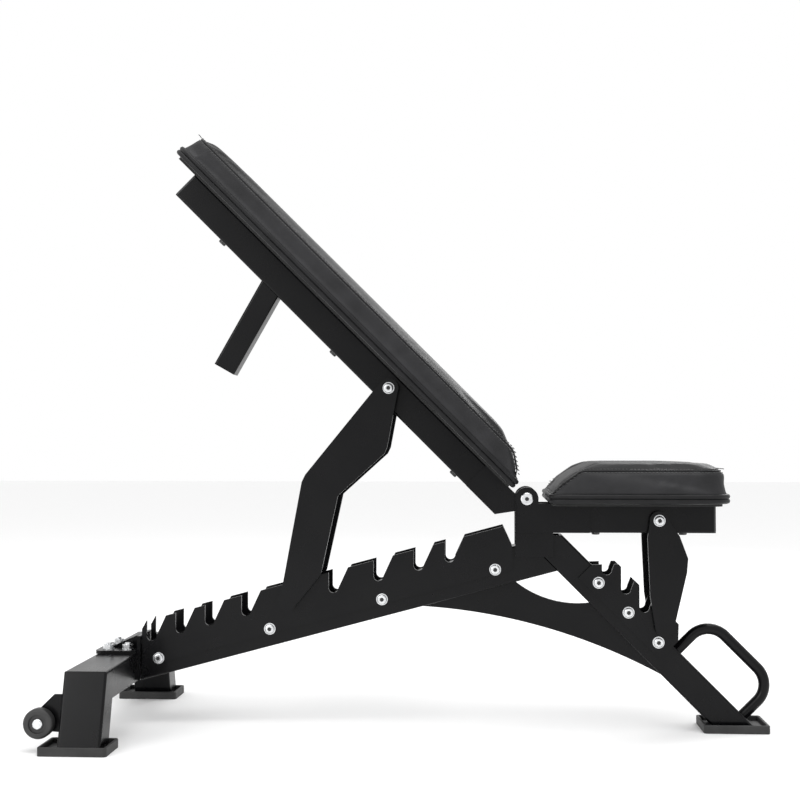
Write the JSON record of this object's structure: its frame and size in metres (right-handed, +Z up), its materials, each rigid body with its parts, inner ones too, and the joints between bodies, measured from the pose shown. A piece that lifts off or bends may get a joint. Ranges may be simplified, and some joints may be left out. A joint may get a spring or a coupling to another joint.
{
  "type": "adjustable weight bench",
  "caption": "Adjustable weight bench on a sloped spine with toothed ladders that set the angle of a padded back and seat.",
  "frame": {"origin": "on the floor under the middle of the bench's box", "axes": "+X from the wheels to the seat end, +Y to the sitter's left, +Z up"},
  "size_m": [1.2199, 0.5626, 1.0243],
  "materials": {
    "frame_paint": "gloss black powder coat",
    "pad_cover": "fine-grained black leatherette",
    "board": "plywood with black backing",
    "foot_rubber": "moulded black rubber",
    "wheel_rubber": "moulded black rubber",
    "black_plastic": "black plastic",
    "zinc": "bright zinc",
    "dark_bolt": "black oxide"
  },
  "bodies": {
    "base": {"back_ladder_left": "frame_paint", "back_ladder_right": "frame_paint", "carry_handle": "frame_paint", "front_foot": "foot_rubber", "front_leg_tube": "frame_paint", "gusset_plate": "frame_paint", "hinge_posts": "frame_paint", "ladder_bolts": "zinc", "ladder_nuts": "zinc", "ladder_washers": "zinc", "main_pivot_bolt": "zinc", "main_pivot_nut": "zinc", "rear_base_bolts": "zinc", "rear_base_nuts": "zinc", "rear_base_washers": "zinc", "rear_brackets": "frame_paint", "rear_crossbeam": "frame_paint", "rear_foot_left": "foot_rubber", "rear_foot_right": "foot_rubber", "rear_leg_left": "frame_paint", "rear_leg_right": "frame_paint", "rear_mount_plate": "frame_paint", "seat_ladder_left": "frame_paint", "seat_ladder_right": "frame_paint", "spine_end_plate": "frame_paint", "spine_tube": "frame_paint", "wheel_bolts": "zinc", "wheel_brackets": "frame_paint", "wheel_bushes": "black_plastic", "wheel_nuts": "zinc"},
    "backrest": {"back_board": "board", "back_ears": "frame_paint", "back_pad": "pad_cover", "back_pad_bolts": "dark_bolt", "back_spacers": "zinc", "back_strut_bolt": "zinc", "back_strut_nut": "zinc", "back_strut_washers": "zinc", "back_tube": "frame_paint", "back_tube_plug": "black_plastic", "pivot_sleeve": "zinc", "stop_leg": "frame_paint"},
    "back_strut": {"back_strut_pins": "zinc", "back_strut_plates": "frame_paint", "back_strut_tie": "frame_paint"},
    "seat": {"seat_board": "board", "seat_ears": "frame_paint", "seat_pad": "pad_cover", "seat_pad_bolts": "dark_bolt", "seat_spacers": "zinc", "seat_strut_bolt": "zinc", "seat_strut_nut": "zinc", "seat_strut_washers": "zinc", "seat_tube": "frame_paint", "seat_tube_plug": "black_plastic"},
    "seat_strut": {"seat_strut_pins": "zinc", "seat_strut_plates": "frame_paint", "seat_strut_tie": "frame_paint"},
    "wheel_left": {"transport_wheel_left": "wheel_rubber"},
    "wheel_right": {"transport_wheel_right": "wheel_rubber"}
  },
  "joints": [
    {"name": "back_hinge", "type": "hinge", "parent": "base", "child": "backrest", "pos_m": [0.19401, 0, 0.395], "axis": [0, 1, 0], "range_deg": [-45, 30]},
    {"name": "back_strut_hinge", "type": "hinge", "parent": "backrest", "child": "back_strut", "pos_m": [-0.04358, 0, 0.58592], "axis": [0, -1, 0], "range_deg": [-80, 54]},
    {"name": "seat_hinge", "type": "hinge", "parent": "base", "child": "seat", "pos_m": [0.19401, 0, 0.395], "axis": [0, -1, 0], "range_deg": [0, 18.6]},
    {"name": "seat_strut_hinge", "type": "hinge", "parent": "seat", "child": "seat_strut", "pos_m": [0.41801, 0, 0.359], "axis": [0, 1, 0], "range_deg": [-1, 51]},
    {"name": "wheel_left_spin", "type": "hinge", "parent": "base", "child": "wheel_left", "pos_m": [-0.58599, 0.25191, 0.046], "axis": [0, 1, 0], "continuous": true},
    {"name": "wheel_right_spin", "type": "hinge", "parent": "base", "child": "wheel_right", "pos_m": [-0.58599, -0.25191, 0.046], "axis": [0, 1, 0], "continuous": true}
  ],
  "couplings": [
    {"joint": "back_strut_hinge", "follows": "back_hinge", "ratio": 1.7511},
    {"joint": "seat_strut_hinge", "follows": "seat_hinge", "ratio": 2.6866}
  ]
}
